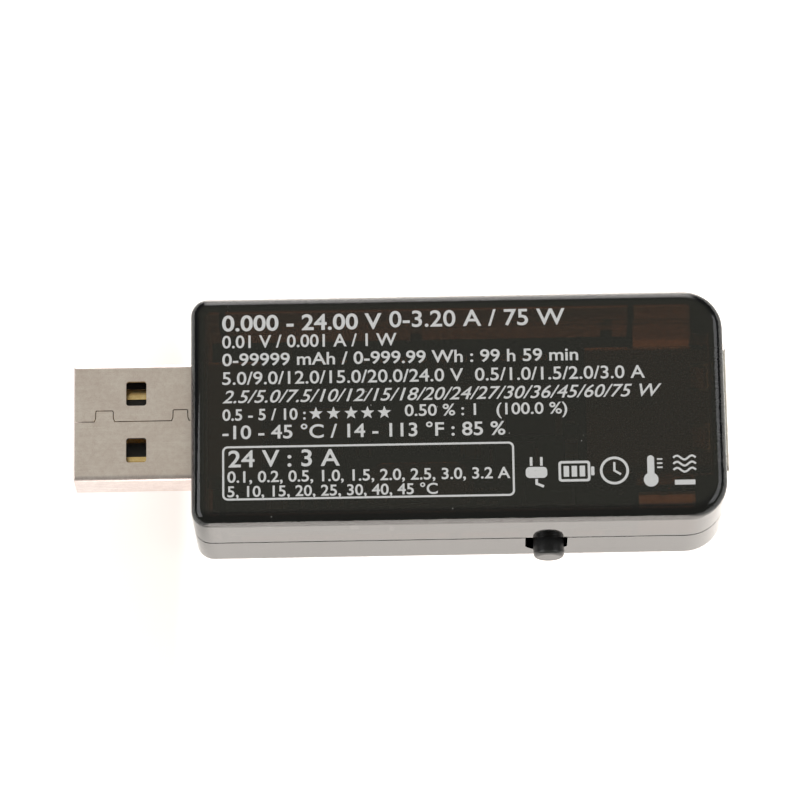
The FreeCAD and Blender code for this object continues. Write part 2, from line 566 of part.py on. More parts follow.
def gull(px, py, dx, dy, w, reach, height, t=0.15):
    """Lead leaving (px, py) towards (dx, dy): out at mid height, down and flat on the board."""
    a, b = reach * 0.35, reach * 0.55
    prof = [(0, height), (a, height), (b, t), (reach, t), (reach, 0), (b - t * 0.6, 0), (a - t * 0.6, height - t), (0, height - t)]
    nx, ny = -dy, dx
    pts = [(px + dx * u - nx * w / 2, py + dy * u - ny * w / 2, zt + v) for u, v in prof]
    return prism(pts, (nx * w, ny * w, 0))


mcu_x, mcu_y = -3.2, 2.4
mcu = chip(mcu_x, mcu_y, 7.0, 7.0, 1.4)
mcu = mcu.cut(Part.makeCylinder(0.35, 0.3, V(mcu_x - 2.7, mcu_y - 2.7, zt + 1.45)))
save("microcontroller", mcu)
mcu_leads = []
for i in range(8):
    o = (i - 3.5) * 0.8
    mcu_leads += [gull(mcu_x + 3.5, mcu_y + o, 1, 0, 0.34, 1.0, 0.87), gull(mcu_x - 3.5, mcu_y + o, -1, 0, 0.34, 1.0, 0.87),
                  gull(mcu_x + o, mcu_y + 3.5, 0, 1, 0.34, 1.0, 0.87), gull(mcu_x + o, mcu_y - 3.5, 0, -1, 0.34, 1.0, 0.87)]
save("microcontroller_leads", group(mcu_leads))

mem_x, mem_y = -13.6, -4.9
mem = chip(mem_x, mem_y, 4.9, 3.9, 1.45)
mem = mem.cut(Part.makeCylinder(0.3, 0.3, V(mem_x - 1.8, mem_y - 1.3, zt + 1.5)))
save("memory_chip", mem)
mem_leads = []
for i in range(4):
    o = (i - 1.5) * 1.27
    mem_leads += [gull(mem_x + o, mem_y + 1.95, 0, 1, 0.42, 1.05, 0.9), gull(mem_x + o, mem_y - 1.95, 0, -1, 0.42, 1.05, 0.9)]
save("memory_chip_leads", group(mem_leads))

reg_x, reg_y = -13.8, 4.6
save("voltage_regulator", chip(reg_x, reg_y, 4.5, 2.5, 1.5, 0.02))
reg_leads = [box(reg_x - 0.22 + o, reg_x + 0.22 + o, reg_y - 2.1, reg_y - 1.25, zt, zt + 0.35) for o in (-1.5, 0, 1.5)]
reg_leads.append(box(reg_x - 0.85, reg_x + 0.85, reg_y + 1.25, reg_y + 2.0, zt, zt + 0.35))
reg_leads = [l.cut(chip(reg_x, reg_y, 4.5, 2.5, 1.5, 0.02)) for l in reg_leads]
save("voltage_regulator_leads", group(reg_leads))

amp_x, amp_y = 9.4, 5.0
save("current_amplifier", chip(amp_x, amp_y, 2.9, 1.6, 1.1))
amp_leads = [gull(amp_x + o, amp_y + 0.8, 0, 1, 0.38, 0.6, 0.7) for o in (-0.95, 0.95)]
amp_leads += [gull(amp_x + o, amp_y - 0.8, 0, -1, 0.38, 0.6, 0.7) for o in (-0.95, 0, 0.95)]
save("current_amplifier_leads", group(amp_leads))


def two_ended(x, y, lx, ly, h, end, along_x=True):
    """Chip body and its two metal ends, along X or Y."""
    if not along_x:
        lx, ly = ly, lx
    x0, x1, y0, y1 = x - lx / 2, x + lx / 2, y - ly / 2, y + ly / 2
    if along_x:
        body = box(x0 + end, x1 - end, y0 + 0.02, y1 - 0.02, zt + 0.03, zt + h - 0.03)
        ends = [box(x0, x0 + end, y0, y1, zt, zt + h), box(x1 - end, x1, y0, y1, zt, zt + h)]
    else:
        body = box(x0 + 0.02, x1 - 0.02, y0 + end, y1 - end, zt + 0.03, zt + h - 0.03)
        ends = [box(x0, x1, y0, y0 + end, zt, zt + h), box(x0, x1, y1 - end, y1, zt, zt + h)]
    return body, ends


b, e = two_ended(7.2, 0.6, 6.3, 3.1, 0.6, 0.7)
save("shunt_resistor", b)
save("shunt_resistor_ends", group(e))

cap = box(-16.6, -10.8, -1.5, 1.6, zt + 0.1, zt + 2.5)
cap = cap.makeChamfer(0.25, [ed for ed in cap.Edges if abs(ed.BoundBox.ZMin - (zt + 2.5)) < 1e-6])
save("reservoir_capacitor", cap)
save("reservoir_capacitor_ends", group([box(-16.95, -16.6, -1.05, 1.15, zt, zt + 1.3), box(-10.8, -10.45, -1.05, 1.15, zt, zt + 1.3)]))

dio = box(3.4, 7.6, -4.4, -2.1, zt + 0.15, zt + 2.15)
dio = dio.makeChamfer(0.2, [ed for ed in dio.Edges if abs(ed.BoundBox.ZMin - (zt + 2.15)) < 1e-6])
dio = dio.cut(box(6.0, 6.7, -5.0, -1.0, zt + 2.12, zt + 3))
save("protection_diode", dio)
save("protection_diode_ends", group([box(3.1, 3.4, -3.95, -2.55, zt, zt + 1.1), box(7.6, 7.9, -3.95, -2.55, zt, zt + 1.1)]))

can_x, can_y = -4.0, -6.3
can_len, can_w, can_h = 10.3, 3.8, 3.4


def stadium(x, y, length, width, z0, z1):
    r = width / 2 * 0.999
    return plan(x - length / 2, x + length / 2, y - width / 2, y + width / 2, z0, z1, r, r)


can = stadium(can_x, can_y, can_len, can_w, zt + 0.55, zt + can_h)
can = can.makeFillet(0.3, edges_at_z(can, zt + can_h))
can = union([can, stadium(can_x, can_y, can_len + 0.7, can_w + 0.7, zt + 0.12, zt + 0.6)])
save("crystal", can)

cc, ce = [], []
for x, y, ax in ((-9.6, 5.2, True), (-9.6, 3.4, True), (-17.4, 8.0, True), (1.2, -2.6, True), (2.6, 4.4, False), (-18.0, -8.2, True), (11.2, -2.6, False)):
    b, e = two_ended(x, y, 2.0, 1.25, 1.1, 0.4, ax)
    cc.append(b)
    ce += e
save("chip_capacitors", group(cc))
save("chip_capacitor_ends", group(ce))
rc, re_ = [], []
for x, y, ax in ((-9.4, -2.4, True), (-9.4, -0.9, True), (4.9, 4.6, True), (4.9, 3.4, True), (3.4, -7.2, False), (2.1, -7.2, False),
                 (11.2, 1.0, False), (-17.8, 4.2, False), (-10.4, -8.3, False)):
    b, e = two_ended(x, y, 1.6, 0.8, 0.45, 0.3, ax)
    rc.append(b)
    re_ += e
save("chip_resistors", group(rc))
save("chip_resistor_ends", group(re_))
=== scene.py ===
import math
import bpy
import bmesh
from mathutils import Matrix, Vector


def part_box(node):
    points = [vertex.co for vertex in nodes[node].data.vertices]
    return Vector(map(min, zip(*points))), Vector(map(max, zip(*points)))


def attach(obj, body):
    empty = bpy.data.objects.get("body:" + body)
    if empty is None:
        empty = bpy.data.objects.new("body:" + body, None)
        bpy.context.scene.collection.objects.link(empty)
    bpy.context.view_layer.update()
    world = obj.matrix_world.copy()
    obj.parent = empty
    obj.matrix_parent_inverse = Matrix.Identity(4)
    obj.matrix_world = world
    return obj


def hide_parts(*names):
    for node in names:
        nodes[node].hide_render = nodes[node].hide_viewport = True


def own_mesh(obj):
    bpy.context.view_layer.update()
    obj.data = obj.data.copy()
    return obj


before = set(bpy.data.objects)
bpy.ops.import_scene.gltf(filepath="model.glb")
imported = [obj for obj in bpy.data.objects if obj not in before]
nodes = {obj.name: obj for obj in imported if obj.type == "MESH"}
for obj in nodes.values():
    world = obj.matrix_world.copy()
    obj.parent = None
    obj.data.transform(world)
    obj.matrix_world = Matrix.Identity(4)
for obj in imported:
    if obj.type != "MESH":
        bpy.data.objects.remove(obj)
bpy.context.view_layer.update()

MM = 0.001
scene = bpy.context.scene
BODY = "case"


# ------------------------------------------------------------------ material helpers
class Mat:
    """A node material with a Principled shader and object-space coordinates in millimetres."""

    def __init__(self, name):
        self.m = bpy.data.materials.new(name)
        self.m.use_nodes = True
        self.t = self.m.node_tree
        self.t.nodes.clear()
        self.out = self.t.nodes.new("ShaderNodeOutputMaterial")
        self.p = self.t.nodes.new("ShaderNodeBsdfPrincipled")
        self.link(self.p.outputs[0], self.out.inputs["Surface"])
        self.co = self.t.nodes.new("ShaderNodeTexCoord").outputs["Object"]
        self.mm = self.mapping((1000, 1000, 1000))

    def link(self, a, b):
        self.t.links.new(a, b)

    def set(self, **kw):
        names = {"color": "Base Color", "rough": "Roughness", "metal": "Metallic", "ior": "IOR",
                 "trans": "Transmission Weight", "coat": "Coat Weight", "coat_rough": "Coat Roughness",
                 "spec": "Specular IOR Level", "aniso": "Anisotropic", "sheen": "Sheen Weight",
                 "emit": "Emission Color", "emit_s": "Emission Strength", "tint": "Specular Tint",
                 "sss": "Subsurface Weight", "sss_r": "Subsurface Radius", "sss_s": "Subsurface Scale"}
        for k, v in kw.items():
            if isinstance(v, tuple) and len(v) == 3 and k != "sss_r":
                v = (*v, 1.0)
            self.p.inputs[names[k]].default_value = v
        return self

    def mapping(self, scale, rot=(0, 0, 0), loc=(0, 0, 0)):
        n = self.t.nodes.new("ShaderNodeMapping")
        n.inputs["Scale"].default_value = scale
        n.inputs["Rotation"].default_value = rot
        n.inputs["Location"].default_value = loc
        self.link(self.co, n.inputs["Vector"])
        return n.outputs[0]

    def noise(self, scale, detail=3.0, rough=0.55, vec=None, dist=0.0):
        n = self.t.nodes.new("ShaderNodeTexNoise")
        n.inputs["Scale"].default_value = scale
        n.inputs["Detail"].default_value = detail
        n.inputs["Roughness"].default_value = rough
        n.inputs["Distortion"].default_value = dist
        self.link(vec or self.mm, n.inputs["Vector"])
        return n.outputs["Fac"]

    def voronoi(self, scale, feature="F1", vec=None, out="Distance", rand=1.0):
        n = self.t.nodes.new("ShaderNodeTexVoronoi")
        n.feature = feature
        n.inputs["Scale"].default_value = scale
        n.inputs["Randomness"].default_value = rand
        self.link(vec or self.mm, n.inputs["Vector"])
        return n.outputs[out]

    def ramp(self, fac, stops, interp="LINEAR"):
        n = self.t.nodes.new("ShaderNodeValToRGB")
        n.color_ramp.interpolation = interp
        e = n.color_ramp.elements
        while len(e) < len(stops):
            e.new(0.5)
        for el, (pos, col) in zip(e, stops):
            el.position = pos
            el.color = (*col, 1.0) if isinstance(col, tuple) else (col, col, col, 1.0)
        self.link(fac, n.inputs[0])
        return n.outputs[0]

    def math(self, op, a, b=None, clamp=False):
        n = self.t.nodes.new("ShaderNodeMath")
        n.operation = op
        n.use_clamp = clamp
        for i, v in enumerate((a, b)):
            if v is None:
                continue
            if isinstance(v, (int, float)):
                n.inputs[i].default_value = v
            else:
                self.link(v, n.inputs[i])
        return n.outputs[0]

    def remap(self, fac, lo, hi, a, b):
        n = self.t.nodes.new("ShaderNodeMapRange")
        n.inputs["From Min"].default_value = lo
        n.inputs["From Max"].default_value = hi
        n.inputs["To Min"].default_value = a
        n.inputs["To Max"].default_value = b
        self.link(fac, n.inputs["Value"])
        return n.outputs["Result"]

    def mix(self, fac, a, b, mode="MIX"):
        n = self.t.nodes.new("ShaderNodeMix")
        n.data_type = "RGBA"
        n.blend_type = mode
        for sock, v in ((n.inputs[0], fac), (n.inputs[6], a), (n.inputs[7], b)):
            if isinstance(v, (int, float)):
                sock.default_value = v
            elif isinstance(v, tuple):
                sock.default_value = (*v, 1.0)
            else:
                self.link(v, sock)
        return n.outputs[2]

    def xyz(self, vec=None):
        n = self.t.nodes.new("ShaderNodeSeparateXYZ")
        self.link(vec or self.mm, n.inputs[0])
        return n.outputs

    def normal_z(self):
        g = self.t.nodes.new("ShaderNodeNewGeometry")
        n = self.t.nodes.new("ShaderNodeSeparateXYZ")
        self.link(g.outputs["Normal"], n.inputs[0])
        return n.outputs["Z"]

    def color(self, sock):
        self.link(sock, self.p.inputs["Base Color"])
        return self

    def rough(self, sock):
        self.link(sock, self.p.inputs["Roughness"])
        return self

    def bump(self, height, strength, distance_mm, into=None):
        n = self.t.nodes.new("ShaderNodeBump")
        n.inputs["Strength"].default_value = strength
        n.inputs["Distance"].default_value = distance_mm * MM
        self.link(height, n.inputs["Height"])
        if into is not None:
            self.link(into, n.inputs["Normal"])
        self.link(n.outputs[0], self.p.inputs["Normal"])
        return n.outputs[0]


def smoked_plastic(name, seed):
    """Polished smoked polycarbonate: absorbing brown-black body, faint polish waviness, hairline scuffs, a few dust flecks."""
    m = Mat(name)
    m.set(ior=1.585)
    scuff_vec = m.mapping((70, 2300, 900), rot=(0, 0, math.radians(28)), loc=(seed, seed * 0.7, 0))
    scuff_vec2 = m.mapping((2100, 60, 900), rot=(0, 0, math.radians(-17)), loc=(seed * 1.3, 0.2, 0))
    s1 = m.ramp(m.noise(1.0, 1.0, 0.4, scuff_vec), [(0.67, 0.0), (0.74, 1.0)])
    s2 = m.ramp(m.noise(1.0, 1.0, 0.4, scuff_vec2), [(0.69, 0.0), (0.75, 1.0)])
    patch = m.ramp(m.noise(0.16, 2.0), [(0.47, 0.0), (0.62, 1.0)])
    scuffs = m.math("MULTIPLY", m.math("MAXIMUM", s1, s2), patch, clamp=True)
    # dust: one fine point in a few cells, well under a tenth of a millimetre
    round_vec = m.mapping((1000, 1000, 1000), loc=(seed, 0, 0))
    specks = m.math("MULTIPLY",
                    m.ramp(m.voronoi(1.1, vec=round_vec), [(0.035, 0.75), (0.075, 0.0)]),
                    m.ramp(m.noise(0.55, 1.0), [(0.62, 0.0), (0.68, 1.0)]))
    m.link(m.math("SUBTRACT", 1.0, specks, clamp=True), m.p.inputs["Transmission Weight"])
    m.color(m.mix(specks, (1.0, 1.0, 1.0), (0.62, 0.61, 0.58)))
    haze = m.remap(m.noise(0.35, 4.0, 0.6), 0.3, 0.8, 0.010, 0.035)
    r = m.math("ADD", haze, m.math("MULTIPLY", scuffs, 0.12), clamp=True)
    m.rough(m.math("MAXIMUM", r, m.math("MULTIPLY", specks, 0.7)))
    peel = m.noise(0.30, 1.0, 0.4)
    micro = m.math("ADD", m.math("MULTIPLY", peel, 0.35), m.math("MULTIPLY", scuffs, 0.12))
    m.bump(m.math("ADD", micro, m.math("MULTIPLY", specks, 0.5)), 0.20, 0.010)
    v = m.t.nodes.new("ShaderNodeVolumeAbsorption")
    v.inputs["Color"].default_value = (0.445, 0.308, 0.165, 1.0)
    v.inputs["Density"].default_value = 3000.0
    m.link(v.outputs[0], m.out.inputs["Volume"])
    return m.m


def plated_steel(name, tint=(0.70, 0.665, 0.64), rough=(0.26, 0.40), grain=9.0, streak=0.5, contrast=1.0):
    """Satin nickel-plated sheet: rolling streaks, orange-peel grain, darker smudges and a few fine handling marks."""
    m = Mat(name)
    m.set(metal=1.0)
    fine = m.noise(grain, 3.0, 0.62)
    mid = m.noise(2.1, 3.0, 0.6)
    streaks = m.noise(1.0, 3.0, 0.6, m.mapping((320, 4200, 4200)))
    blot = m.noise(0.33, 4.0, 0.6)
    rub = m.ramp(m.noise(1.0, 1.0, 0.4, m.mapping((150, 3300, 900), rot=(0, 0, math.radians(-9)))), [(0.66, 0.0), (0.74, 1.0)])
    mark = m.math("ADD", m.math("MULTIPLY", fine, 0.42), m.math("MULTIPLY", mid, 0.38))
    mark = m.math("ADD", mark, m.math("MULTIPLY", streaks, 0.30 * streak))
    mark = m.math("ADD", mark, m.math("MULTIPLY", blot, 0.30))
    lo = tuple(c * (1 - 0.13 * contrast) for c in tint)
    hi = tuple(min(1.0, c * (1 + 0.08 * contrast)) for c in tint)
    m.color(m.mix(m.math("MULTIPLY", rub, 0.5), m.mix(m.ramp(mark, [(0.40, 0.0), (0.82, 1.0)]), lo, hi), hi))
    r = m.math("ADD", m.remap(mark, 0.40, 0.85, rough[0], rough[1]), m.math("MULTIPLY", rub, -0.06))
    m.rough(r)
    h = m.math("ADD", m.math("MULTIPLY", fine, 0.7), m.math("MULTIPLY", streaks, 0.5 * streak))
    m.bump(m.math("SUBTRACT", h, m.math("MULTIPLY", rub, 0.25)), 0.5, 0.010)
    return m.m


def gold(name):
    m = Mat(name)
    m.set(metal=1.0)
    n = m.noise(1.0, 3.0, 0.6, m.mapping((260, 4200, 4200)))
    b = m.noise(2.2, 3.0)
    m.color(m.mix(m.ramp(b, [(0.35, 0.0), (0.7, 1.0)]), (0.86, 0.60, 0.27), (0.98, 0.75, 0.40)))
    m.rough(m.remap(n, 0.3, 0.7, 0.14, 0.30))
    m.bump(n, 0.3, 0.006)
    return m.m


def moulded(name, base, rough=(0.38, 0.55), grain=9.0, bump=0.012, vary=0.25, spec=0.5, coat=0.0):
    m = Mat(name)
    m.set(ior=1.5, spec=spec, coat=coat)
    g = m.noise(grain, 4.0, 0.6)
    big = m.noise(0.9, 3.0)
    d = tuple(c * (1 - vary) for c in base)
    l = tuple(min(1, c * (1 + vary)) for c in base)
    m.color(m.mix(m.ramp(big, [(0.3, 0.0), (0.75, 1.0)]), d, l))
    m.rough(m.remap(g, 0.3, 0.7, rough[0], rough[1]))
    m.bump(g, 0.4, bump)
    return m.m


def tin(name, tint=(0.76, 0.75, 0.73), rough=(0.22, 0.42)):
    m = Mat(name)
    m.set(metal=1.0)
    g = m.noise(7.0, 4.0, 0.65)
    m.color(m.mix(g, tuple(c * 0.8 for c in tint), tint))
    m.rough(m.remap(g, 0.3, 0.7, rough[0], rough[1]))
    m.bump(g, 0.35, 0.012)
    return m.m


def board_material():
    """Green solder mask over copper: traces and pour show as a lighter green, tinned pads, pale laminate at the cut edges."""
    m = Mat("board_solder_mask")
    m.set(ior=1.5, coat=0.0)
    vec = m.mapping((1000, 1000, 1000), rot=(0, 0, 0))
    br = m.t.nodes.new("ShaderNodeTexBrick")
    m.link(vec, br.inputs["Vector"])
    br.offset = 0.37
    br.squash = 1.0
    for k, v in (("Scale", 0.32), ("Mortar Size", 0.055), ("Mortar Smooth", 0.05), ("Bias", 0.0), ("Brick Width", 1.9), ("Row Height", 0.42)):
        br.inputs[k].default_value = v
    trace = m.math("SUBTRACT", 1.0, br.outputs["Fac"])
    vias = m.ramp(m.voronoi(0.42), [(0.10, 1.0), (0.13, 0.0)])
    pour = m.ramp(m.noise(0.11, 1.0), [(0.50, 0.0), (0.515, 1.0)])
    cover = m.math("MAXIMUM", trace, pour)
    tone = m.noise(3.0, 3.0)
    green = m.mix(cover, (0.004, 0.022, 0.012), (0.009, 0.050, 0.024))
    green = m.mix(m.math("MULTIPLY", tone, 0.3), green, (0.005, 0.032, 0.018))
    green = m.mix(vias, green, (0.62, 0.60, 0.55))
    nz = m.math("ABSOLUTE", m.normal_z())
    edge = m.ramp(nz, [(0.45, 1.0), (0.55, 0.0)])
    weave = m.mix(m.noise(6.0, 2.0), (0.42, 0.36, 0.20), (0.30, 0.27, 0.15))
    m.color(m.mix(edge, green, weave))
    m.rough(m.remap(tone, 0.2, 0.8, 0.22, 0.36))
    m.bump(m.math("ADD", cover, m.math("MULTIPLY", vias, -0.6)), 0.6, 0.02)
    return m.m


def glass_pane(name, tint=(0.92, 0.95, 0.93)):
    m = Mat(name)
    m.set(color=tint, trans=1.0, ior=1.52)
    n = m.noise(0.8, 3.0)
    m.rough(m.remap(n, 0.3, 0.7, 0.02, 0.06))
    m.bump(n, 0.1, 0.004)
    return m.m


def display_face(name):
    """Front polarizer of a resting reflective display: grey-green with a faint pixel-fine mottling."""
    m = Mat(name)
    m.set(ior=1.49, coat=0.6, coat_rough=0.08)
    big = m.noise(0.12, 2.0)
    fine = m.noise(14.0, 2.0)
    c = m.mix(m.ramp(big, [(0.3, 0.0), (0.7, 1.0)]), (0.46, 0.50, 0.40), (0.54, 0.58, 0.47))
    m.color(m.mix(m.math("MULTIPLY", fine, 0.25), c, (0.40, 0.44, 0.36)))
    m.rough(m.remap(fine, 0.3, 0.7, 0.30, 0.42))
    m.bump(fine, 0.2, 0.004)
    return m.m


def ink(name, base=(0.87, 0.87, 0.89)):
    """Pad-printed white ink: nearly opaque, slightly uneven, satin."""
    m = Mat(name)
    m.set(ior=1.48)
    worn = m.noise(5.5, 5.0, 0.7)
    thin = m.ramp(worn, [(0.30, 0.0), (0.42, 1.0)])
    m.color(m.mix(thin, tuple(c * 0.62 for c in base), base))
    m.rough(m.remap(worn, 0.3, 0.7, 0.42, 0.62))
    m.bump(worn, 0.4, 0.006)
    return m.m


case_up = smoked_plastic("smoked_case_back", 3.1)
case_lo = smoked_plastic("smoked_case_front", 8.7)
plug_metal = plated_steel("plug_plated_steel", tint=(0.97, 0.79, 0.755), rough=(0.29, 0.40), contrast=1.9)
socket_metal = plated_steel("socket_plated_steel", tint=(0.80, 0.76, 0.72), rough=(0.20, 0.34), grain=8.0)
contact_gold = gold("contact_gold")
insulator = moulded("insulator_black", (0.016, 0.016, 0.017), rough=(0.35, 0.5), grain=7.0)
socket_insulator_mat = moulded("socket_insulator_ivory", (0.66, 0.63, 0.56), rough=(0.34, 0.5), grain=6.0, vary=0.06)
button_mat = moulded("button_satin_black", (0.030, 0.030, 0.031), rough=(0.24, 0.36), grain=10.0, bump=0.008, vary=0.15)
switch_mat = moulded("switch_body", (0.018, 0.018, 0.02), rough=(0.4, 0.6), grain=8.0)
switch_metal = plated_steel("switch_bracket", tint=(0.12, 0.12, 0.125), rough=(0.35, 0.5))
plunger_mat = moulded("switch_plunger_black", (0.022, 0.022, 0.023), rough=(0.3, 0.45), grain=9.0)
spring_metal = tin("snap_dome_steel", (0.80, 0.79, 0.77), (0.12, 0.25))
tin_mat = tin("tin_plate")
solder_mat = tin("solder", (0.72, 0.72, 0.71), (0.15, 0.35))
board_mat = board_material()
lcd_glass_mat = glass_pane("display_glass")
lcd_face_mat = display_face("display_front_film")
lcd_back_mat = moulded("display_rear_film", (0.30, 0.32, 0.28), rough=(0.3, 0.45), grain=10.0, bump=0.004)
guide_mat = moulded("light_guide_acrylic", (0.80, 0.82, 0.80), rough=(0.12, 0.25), grain=3.0, bump=0.01, vary=0.06)
reflector_mat = moulded("reflector_film", (0.84, 0.84, 0.83), rough=(0.3, 0.5), grain=5.0, bump=0.006, vary=0.04)
frame_mat = moulded("display_holder_white", (0.72, 0.72, 0.70), rough=(0.4, 0.6), grain=6.0, vary=0.05)
led_mat = moulded("led_phosphor", (0.80, 0.74, 0.40), rough=(0.35, 0.5), grain=12.0, vary=0.08)
epoxy = moulded("chip_epoxy", (0.022, 0.022, 0.024), rough=(0.45, 0.65), grain=16.0, bump=0.012)
diode_epoxy = moulded("diode_epoxy", (0.028, 0.027, 0.027), rough=(0.4, 0.6), grain=14.0)
cap_tan = moulded("capacitor_ceramic", (0.42, 0.29, 0.18), rough=(0.4, 0.6), grain=12.0, vary=0.12)
res_mat = moulded("resistor_glaze", (0.03, 0.03, 0.034), rough=(0.25, 0.4), grain=10.0)
cap_yellow = moulded("capacitor_epoxy", (0.70, 0.45, 0.08), rough=(0.35, 0.5), grain=9.0, vary=0.1)
can_metal = plated_steel("crystal_can_metal", tint=(0.74, 0.73, 0.72), rough=(0.18, 0.32), grain=9.0)
ink_mat = ink("label_ink")
segment_mat = moulded("display_segments_dark", (0.085, 0.095, 0.08), rough=(0.35, 0.5), grain=9.0, bump=0.002, vary=0.1)

use = {
    "back_cover": case_up, "front_case": case_lo, "plug_shell": plug_metal, "socket_shell": socket_metal,
    "plug_insulator": insulator, "socket_insulator": socket_insulator_mat,
    "plug_power_contacts": contact_gold, "plug_data_contacts": contact_gold,
    "socket_power_contacts": contact_gold, "socket_data_contacts": contact_gold,
    "button": button_mat, "switch_housing": switch_mat, "switch_cover_plate": switch_metal,
    "switch_plunger": plunger_mat, "switch_dome": spring_metal, "switch_terminals": tin_mat, "main_pcb": board_mat, "solder_joints": solder_mat,
    "lcd_front_polarizer": lcd_face_mat, "lcd_front_glass": lcd_glass_mat, "lcd_rear_glass": lcd_glass_mat,
    "lcd_rear_polarizer": lcd_back_mat, "backlight_guide": guide_mat, "backlight_reflector": reflector_mat,
    "backlight_leds": led_mat, "lcd_frame": frame_mat, "lcd_pins": tin_mat,
    "microcontroller": epoxy, "memory_chip": epoxy, "voltage_regulator": epoxy, "current_amplifier": epoxy,
    "protection_diode": diode_epoxy, "reservoir_capacitor": cap_yellow, "crystal": can_metal,
    "chip_capacitors": cap_tan, "chip_resistors": res_mat, "shunt_resistor": res_mat,
}
for name, o in nodes.items():
    mat = use.get(name, tin_mat)
    o.data.materials.clear()
    o.data.materials.append(mat)


# ------------------------------------------------------------------ printed label (thin ink, in geometry)
def box_mm(name):
    lo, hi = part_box(name)
    return [v / MM for v in lo], [v / MM for v in hi]


(_, _, _), (_, _, face_z) = box_mm("back_cover")
INK_LOW, INK_HIGH = face_z - 0.004, face_z + 0.010


def finish_mesh(bm, name, mat, body=BODY, smooth=False):
    bmesh.ops.remove_doubles(bm, verts=bm.verts, dist=1e-4)
    bmesh.ops.dissolve_degenerate(bm, edges=bm.edges, dist=1e-4)
    bmesh.ops.recalc_face_normals(bm, faces=bm.faces)
    me = bpy.data.meshes.new(name)
    bmesh.ops.scale(bm, vec=(MM, MM, MM), verts=bm.verts)
    bm.to_mesh(me)
    bm.free()
    for p in me.polygons:
        p.use_smooth = smooth
    o = bpy.data.objects.new(name, me)
    scene.collection.objects.link(o)
    me.materials.append(mat)
    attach(o, body)
    return o


def extrude_outline(bm, outline, z0, z1):
    """Closed prism over a simple outline in mm."""
    n = len(outline)
    low = [bm.verts.new((x, y, z0)) for x, y in outline]
    high = [bm.verts.new((x, y, z1)) for x, y in outline]
    bm.faces.new(high)
    bm.faces.new(low[::-1])
    for i in range(n):
        j = (i + 1) % n
        bm.faces.new((low[i], low[j], high[j], high[i]))


def ring(bm, outer, inner, z0, z1):
    """Closed prism between two outlines with the same number of points."""
    n = len(outer)
    ol = [bm.verts.new((x, y, z0)) for x, y in outer]
    oh = [bm.verts.new((x, y, z1)) for x, y in outer]
    il = [bm.verts.new((x, y, z0)) for x, y in inner]
    ih = [bm.verts.new((x, y, z1)) for x, y in inner]
    for i in range(n):
        j = (i + 1) % n
        bm.faces.new((ol[i], ol[j], oh[j], oh[i]))
        bm.faces.new((il[j], il[i], ih[i], ih[j]))
        bm.faces.new((oh[i], oh[j], ih[j], ih[i]))
        bm.faces.new((ol[j], ol[i], il[i], il[j]))


def circle(cx, cy, r, n=40, a0=0.0, a1=2 * math.pi):
    full = abs(a1 - a0 - 2 * math.pi) < 1e-6
    return [(cx + r * math.cos(a0 + (a1 - a0) * i / (n if full else n - 1)),
             cy + r * math.sin(a0 + (a1 - a0) * i / (n if full else n - 1))) for i in range(n)]


def rounded_rect(x0, x1, y0, y1, r, n=8):
    pts = []
    for cx, cy, a in ((x1 - r, y0 + r, -90), (x1 - r, y1 - r, 0), (x0 + r, y1 - r, 90), (x0 + r, y0 + r, 180)):
        for i in range(n + 1):
            t = math.radians(a + 90 * i / n)
            pts.append((cx + r * math.cos(t), cy + r * math.sin(t)))
    return pts


def stroke(bm, pts, w, z0, z1):
    """Polyline with square ends as separate overlapping-free quads joined by mitres."""
    left, right = [], []
    for i, (x, y) in enumerate(pts):
        a = pts[max(i - 1, 0)]
        b = pts[min(i + 1, len(pts) - 1)]
        if i == 0:
            d = (b[0] - x, b[1] - y)
            k = 1.0
        elif i == len(pts) - 1:
            d = (x - a[0], y - a[1])
            k = 1.0
        else:
            l1 = math.hypot(x - a[0], y - a[1])
            l2 = math.hypot(b[0] - x, b[1] - y)
            u1 = ((x - a[0]) / l1, (y - a[1]) / l1)
            u2 = ((b[0] - x) / l2, (b[1] - y) / l2)
            d = (u1[0] + u2[0], u1[1] + u2[1])
            k = 1.0 / max(0.35, math.sqrt(max(0.0, (1 + u1[0] * u2[0] + u1[1] * u2[1]) / 2)))
        l = math.hypot(*d) or 1.0
        nx, ny = -d[1] / l * w / 2 * k, d[0] / l * w / 2 * k
        left.append((x + nx, y + ny))
        right.append((x - nx, y - ny))
    n = len(pts)
    ll = [bm.verts.new((*p, z0)) for p in left]
    lh = [bm.verts.new((*p, z1)) for p in left]
    rl = [bm.verts.new((*p, z0)) for p in right]
    rh = [bm.verts.new((*p, z1)) for p in right]
    for i in range(n - 1):
        bm.faces.new((lh[i], rh[i], rh[i + 1], lh[i + 1]))
        bm.faces.new((ll[i + 1], rl[i + 1], rl[i], ll[i]))
        bm.faces.new((ll[i], ll[i + 1], lh[i + 1], lh[i]))
        bm.faces.new((rl[i + 1], rl[i], rh[i], rh[i + 1]))
    bm.faces.new((ll[0], lh[0], rh[0], rl[0]))
    bm.faces.new((ll[-1], rl[-1], rh[-1], lh[-1]))


